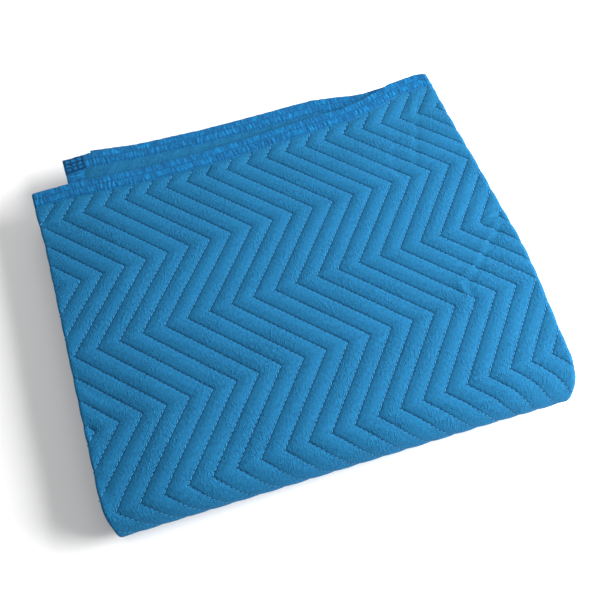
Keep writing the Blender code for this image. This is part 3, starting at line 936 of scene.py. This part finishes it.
def sew(name, lines, values, material):
    """A mesh of stitches along lines. Each line is an array of points and one of their ups."""
    points = np.concatenate([line for line, _ in lines])
    ups = np.concatenate([up for _, up in lines])
    edges, first = [], 0
    for line, _ in lines:
        edges += [(first + number, first + number + 1) for number in range(len(line) - 1)]
        first += len(line)
    mesh = bpy.data.meshes.new(name + "_lines")
    mesh.from_pydata(points.tolist(), edges, [])
    mesh.attributes.new("up", "FLOAT_VECTOR", "POINT").data.foreach_set("vector", ups.ravel())
    guide = bpy.data.objects.new(name + "_lines", mesh)
    bpy.context.collection.objects.link(guide)
    modifier = guide.modifiers.new("Stitches", "NODES")
    modifier.node_group = stitch_tree()
    for item in modifier.node_group.interface.items_tree:
        if item.in_out == "INPUT" and item.name in values:
            modifier[item.identifier] = values[item.name]
        if item.name == "Material":
            modifier[item.identifier] = material
    evaluated = guide.evaluated_get(bpy.context.evaluated_depsgraph_get())
    sewn = bpy.data.meshes.new_from_object(evaluated)
    bpy.data.objects.remove(guide)
    sewn.name = name
    piece = bpy.data.objects.new(name, sewn)
    bpy.context.collection.objects.link(piece)
    return piece


def surface_lines(s, t, height, lift, sizes, pitch):
    """One line of points on the cloth with their ups, cut short by half a stitch at each end."""
    points = uneven(place(s, t, height + lift), sizes)
    above = uneven(place(s, t, height + lift + 1 * MM), sizes)
    along = np.concatenate(([0], np.cumsum(np.linalg.norm(np.diff(points, axis=0), axis=1))))
    if along[-1] < SHORTEST_SEAM:
        return []
    keep = np.linspace(pitch / 2, along[-1] - pitch / 2, max(2, round(along[-1] / (2 * MM))))
    line = np.stack([np.interp(keep, along, points[:, axis]) for axis in range(3)], axis=1)
    ups = np.stack([np.interp(keep, along, (above - points)[:, axis]) for axis in range(3)], axis=1)
    return [(line, ups)]


def seam_lines(first_down, last_down, sizes):
    """The quilting seams between two distances down, in straight runs from turn to turn."""
    lines = []
    turns = [FIRST_TURN + ZIGZAG_LONG * number for number in range(-1, 12)]
    for low, high in zip(turns, turns[1:]):
        start, end = max(low, first_down), min(high, last_down)
        if end <= start:
            continue
        for seam in range(FIRST_SEAM, LAST_SEAM):
            down = np.linspace(start, end, 40)
            s = find_s(np.full(down.shape, float(seam)), lambda s: along_for(s, down))
            t = along_for(s, down)
            bare = (t > END_TAPE_WIDTH + 1 * MM) & (t < BLANKET_LENGTH - END_TAPE_WIDTH)
            keep = (s > RIGHT_FOLD_START) & (s < LEFT_FOLD_END) & bare
            if keep.sum() < 3:
                continue
            s, t = s[keep], t[keep]
            height = front_height(s, t, sizes)
            falls_left = round((low - FIRST_TURN) / ZIGZAG_LONG) % 2
            lift = PROUD_LIFT if falls_left else SUNK_LIFT
            lines += surface_lines(s, t, height, lift, sizes, sizes.stitch_pitch)
    return lines


def link_piece(name, mesh, material):
    """An object for a finished mesh."""
    mesh.materials.append(material)
    piece = bpy.data.objects.new(name, mesh)
    bpy.context.collection.objects.link(piece)
    return piece


# Settings that a user would change


def length_setting(name, description, default, least=0.0):
    """A length that a user can change."""
    return bpy.props.FloatProperty(
        name=name, description=description, default=default, min=least, unit="LENGTH")


class BlanketSizes(bpy.types.PropertyGroup):
    """Sizes of the quilting, tape and thread."""

    puff_height: length_setting("Puff Height", "How far the padding stands over the seams", 2.4 * MM)
    crease_amount: bpy.props.FloatProperty(
        name="Crease Amount", description="Scales the creases that lie across the quilting",
        default=1.0, min=0.0, subtype="FACTOR")
    unevenness: length_setting("Unevenness", "Height of the slow waves in the top", 0.9 * MM)
    tape_ripple: length_setting("Tape Ripple", "Height of the puckers in the tape", 0.42 * MM)
    stitch_pitch: length_setting("Stitch Pitch", "From one quilting stitch to the next", 5.2 * MM, 1 * MM)
    stitch_length: length_setting("Stitch Length", "Length of thread that shows", 4.0 * MM, 1 * MM)
    thread_radius: length_setting("Thread Radius", "Half the thickness of the thread", 0.4 * MM, 0.1 * MM)


def colour_setting(name, description, code):
    """A colour that a user can change, with a default given as sRGB hex."""
    return bpy.props.FloatVectorProperty(
        name=name, description=description, default=linear(code), size=3, min=0.0, max=1.0, subtype="COLOR")


class BlanketColours(bpy.types.PropertyGroup):
    """Colours of the felt, tape and thread."""

    felt: colour_setting("Felt", "Middle blue of the felt", "#155A80")
    # The light and dark felt colours give random mottling, partly painted highlight on the tops of the
    # tufts and painted shade between them.
    felt_mottle_and_highlight: colour_setting("Felt Light", "Matted patches that catch the light", "#1D6C98")
    felt_mottle_and_shade: colour_setting("Felt Dark", "Between the fibres", "#104C72")
    fibre: colour_setting("Fibre", "Loose fibres seen edge on", "#2E86C0")
    # Painted shade that darkens the felt along the seam grooves.
    seam: colour_setting("Seam", "The felt drawn down into a seam", "#062E50")
    tape: colour_setting("Tape", "Middle blue of the tape", "#0C6CA2")
    # Painted highlight on the tops of the tape's puckers, also the tint of the tape's sheen.
    tape_highlight: colour_setting("Tape Light", "Tops of the tape's puckers", "#2288C4")
    # Painted shade in the hollows of the tape's puckers, also the colour of the tape's stains.
    tape_shade_and_stain: colour_setting("Tape Dark", "Hollows of the tape's puckers", "#0B4C7A")
    thread: colour_setting("Thread", "Quilting thread", "#4298CE")
    dark_thread: colour_setting("Dark Thread", "Thread that sews down the tape", "#0B3D68")


class StageSettings(bpy.types.PropertyGroup):
    """The floor and the lights."""

    floor: colour_setting("Floor", "Colour of the floor", "#FAFAFA")
    key_power: bpy.props.FloatProperty(
        name="Key Power", description="Power of the large light on the right",
        default=112.0, min=0.0, unit="POWER")
    back_power: bpy.props.FloatProperty(
        name="Back Power", description="Power of the larger light behind the far edge",
        default=10.0, min=0.0, unit="POWER")
    room_strength: bpy.props.FloatProperty(
        name="Room Strength", description="Strength of the light from all round", default=0.36, min=0.0)


# The camera, in the photograph's place
LENS = 44.4
CAMERA_PLACE = (-0.13041, -0.39711, 0.7912)
CAMERA_TURN = math.radians(-20.35)
CAMERA_ELEVATION = math.radians(63.58)

FLOOR_SIZE = 6
FLOOR_DROP = 0.2 * MM

# Soft lights, by place and size
KEY_PLACE = (1.58, -0.44, 0.84)
KEY_SIZE = (1.4, 1.0)
BACK_PLACE = (-0.3, 1.3, 1.2)
BACK_SIZE = (1.8, 1.2)


def add_soft_light(name, place, size, power):
    """A rectangular light that faces the blanket."""
    light = bpy.data.lights.new(name, "AREA")
    light.shape = "RECTANGLE"
    light.size, light.size_y = size
    light.energy = power
    lamp = bpy.data.objects.new(name, light)
    lamp.location = place
    lamp.rotation_euler = (-lamp.location).to_track_quat("-Z", "Y").to_euler()
    bpy.context.collection.objects.link(lamp)


class BLANKET_OT_stage(bpy.types.Operator):
    """Sets up the floor, the lights and the camera"""

    bl_idname = "blanket.stage"
    bl_label = "Stage"

    def execute(self, context):
        settings = context.scene.blanket_stage
        context.scene.view_settings.view_transform = "Standard"
        bpy.ops.mesh.primitive_plane_add(size=FLOOR_SIZE, location=(0, 0, CAD_BOX[0][2] - FLOOR_DROP))
        floor = context.object
        floor.name = "floor"
        floor.data.materials.append(floor_material(settings.floor))
        world = bpy.data.worlds.new("white room")
        world.use_nodes = True
        background = world.node_tree.nodes["Background"]
        background.inputs["Color"].default_value = (1, 1, 1, 1)
        background.inputs["Strength"].default_value = settings.room_strength
        context.scene.world = world
        add_soft_light("key", KEY_PLACE, KEY_SIZE, settings.key_power)
        add_soft_light("back", BACK_PLACE, BACK_SIZE, settings.back_power)
        camera_data = bpy.data.cameras.new("camera")
        camera_data.lens = LENS
        camera_data.sensor_width = 36
        camera_data.clip_start = 0.01
        camera = bpy.data.objects.new("camera", camera_data)
        camera.location = CAMERA_PLACE
        flat = math.cos(CAMERA_ELEVATION)
        forward = Vector((-math.sin(CAMERA_TURN) * flat, math.cos(CAMERA_TURN) * flat,
                          -math.sin(CAMERA_ELEVATION)))
        camera.rotation_euler = forward.to_track_quat("-Z", "Y").to_euler()
        context.collection.objects.link(camera)
        context.scene.camera = camera
        return {"FINISHED"}


class BLANKET_OT_cloth(bpy.types.Operator):
    """Makes the folded quilted cloth"""

    bl_idname = "blanket.cloth"
    bl_label = "Quilted Cloth"

    def execute(self, context):
        mesh = cloth_mesh("quilted_cloth", context.scene.blanket_sizes)
        piece = link_piece("quilted_cloth", mesh, felt_material(context.scene.blanket_colours))
        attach(piece, "root")
        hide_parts("blanket_cloth")
        return {"FINISHED"}


class BLANKET_OT_bindings(bpy.types.Operator):
    """Makes the tape on the edges of the blanket"""

    bl_idname = "blanket.bindings"
    bl_label = "Edge Tape"

    def execute(self, context):
        sizes = context.scene.blanket_sizes
        tape = tape_material(context.scene.blanket_colours)
        shown = [(0, TOP_END), (RIGHT_INNER[1], BLANKET_WIDTH)]
        whole = tape_places(0, BLANKET_WIDTH, shown, 0.9 * MM, 8 * MM)
        hidden = tape_places(0, BLANKET_WIDTH, [(RIGHT_FOLD_START, LEFT_FOLD_END)], 2 * MM, 5 * MM)
        start = END_TAPE_WIDTH + TAPE_SPACE
        folds = [(NEAR_START, NEAR_END), FAR_FOLD, NEAR_INNER]
        along = tape_places(start, BLANKET_LENGTH - start, folds, 2.5 * MM, 6 * MM)
        pieces = [
            ("top_end_binding", END_TAPE_WIDTH, whole, lambda a, b: (a, b)),
            ("lower_end_binding", END_TAPE_WIDTH, hidden, lambda a, b: (a, BLANKET_LENGTH - b)),
            ("under_side_binding", SIDE_TAPE_WIDTH, along, lambda a, b: (b, a)),
            ("third_side_binding", SIDE_TAPE_WIDTH, along, lambda a, b: (BLANKET_WIDTH - b, a)),
        ]
        for number, (node, width, places, point_at) in enumerate(pieces):
            name = node.replace("binding", "tape")
            mesh = tape_mesh(name, width, places, point_at, sizes, 20 + 10 * number)
            piece = link_piece(name, mesh, tape)
            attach(piece, "root")
            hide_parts(node)
        return {"FINISHED"}


class BLANKET_OT_quilting_stitches(bpy.types.Operator):
    """Sews the zigzag seams of the quilting"""

    bl_idname = "blanket.quilting_stitches"
    bl_label = "Quilting Stitches"

    def execute(self, context):
        sizes = context.scene.blanket_sizes
        colours = context.scene.blanket_colours
        thread = thread_material("spun polyester quilting thread", tuple(colours.thread), colours.fibre)
        values = {"Pitch": sizes.stitch_pitch, "Length": sizes.stitch_length,
                  "Radius": sizes.thread_radius, "Rise": QUILTING_RISE, "Turn": QUILTING_TURN, "Seed": 3}
        under = NEAR_END - NEAR_START + DEPTH_LEFT
        far = FAR_FOLD[0] - NEAR_START + DEPTH_LEFT - 30 * MM
        parts = (("quilting_stitches_top", 0, under), ("quilting_stitches_under", under, far))
        for name, first, last in parts:
            piece = sew(name, seam_lines(first, last, sizes), values, thread)
            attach(piece, "root")
        return {"FINISHED"}


class BLANKET_OT_tape_stitches(bpy.types.Operator):
    """Sews down the tape, and sews the bar tack on its corner"""

    bl_idname = "blanket.tape_stitches"
    bl_label = "Tape Stitches"

    def execute(self, context):
        sizes = context.scene.blanket_sizes
        colours = context.scene.blanket_colours
        thread = thread_material("spun polyester tape thread", tuple(colours.dark_thread), colours.tape)
        lines = []
        spans = [(2 * MM, TOP_END), (RIGHT_INNER[1], BLANKET_WIDTH - 26 * MM)]
        for back in STITCH_ROWS:
            for low, high in spans:
                s = np.arange(low, high, 2 * MM)
                lines += surface_lines(s, np.full(s.shape, back), TAPE_HALF, 0.0, sizes, TAPE_STITCH_PITCH)
        piece = sew("tape_stitches", lines, {"Pitch": TAPE_STITCH_PITCH, **TAPE_STITCH}, thread)
        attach(piece, "root")
        box = []
        for number in range(TACK_LINES):
            across = np.linspace(TACK_EDGE, TACK_ACROSS, 12)
            t = np.full(across.shape, TACK_EDGE + TACK_ROW_SPACE * number)
            box += surface_lines(BLANKET_WIDTH - across, t, TAPE_HALF, TACK_LIFT, sizes, TACK_PITCH)
            down = np.linspace(TACK_EDGE, TACK_DOWN, 12)
            s = np.full(down.shape, BLANKET_WIDTH - TACK_EDGE - TACK_COLUMN_SPACE * number)
            box += surface_lines(s, down, TAPE_HALF, TACK_LIFT, sizes, TACK_PITCH)
        tack = sew("corner_bar_tack", box, {"Pitch": TACK_PITCH, **TACK_STITCH}, thread)
        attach(tack, "root")
        return {"FINISHED"}


class BLANKET_OT_declare(bpy.types.Operator):
    """Takes no step: it does nothing and finishes"""

    bl_idname = "blanket.declare"
    bl_label = "Declare the Sheet"

    def execute(self, context):
        return {"FINISHED"}


STEPS = (BLANKET_OT_stage, BLANKET_OT_cloth, BLANKET_OT_bindings, BLANKET_OT_quilting_stitches,
         BLANKET_OT_tape_stitches, BLANKET_OT_declare)


class BLANKET_PT_panel(bpy.types.Panel):
    """Lists the sizes, the colours and the steps that make the blanket"""

    bl_idname = "BLANKET_PT_panel"
    bl_label = "Moving Blanket"
    bl_space_type = "VIEW_3D"
    bl_region_type = "UI"
    bl_category = "Blanket"

    def draw(self, context):
        for group in GROUPS:
            box = self.layout.box()
            for name in GROUPS[group].__annotations__:
                box.prop(getattr(context.scene, group), name)
        for step in STEPS:
            self.layout.operator(step.bl_idname)


GROUPS = {"blanket_sizes": BlanketSizes, "blanket_colours": BlanketColours, "blanket_stage": StageSettings}
CLASSES = (*GROUPS.values(), *STEPS, BLANKET_PT_panel)


def register():
    """Registers the classes and puts the settings on the scene."""
    for item in CLASSES:
        bpy.utils.register_class(item)
    for name, group in GROUPS.items():
        setattr(bpy.types.Scene, name, bpy.props.PointerProperty(type=group))


def unregister():
    """Removes what register added."""
    for name in GROUPS:
        delattr(bpy.types.Scene, name)
    for item in reversed(CLASSES):
        bpy.utils.unregister_class(item)


def main():
    """Builds the dressed blanket."""
    register()
    bpy.ops.blanket.stage()
    bpy.ops.blanket.cloth()
    bpy.ops.blanket.bindings()
    bpy.ops.blanket.quilting_stitches()
    bpy.ops.blanket.tape_stitches()
    bpy.ops.blanket.declare()


if __name__ == "__main__":
    main()
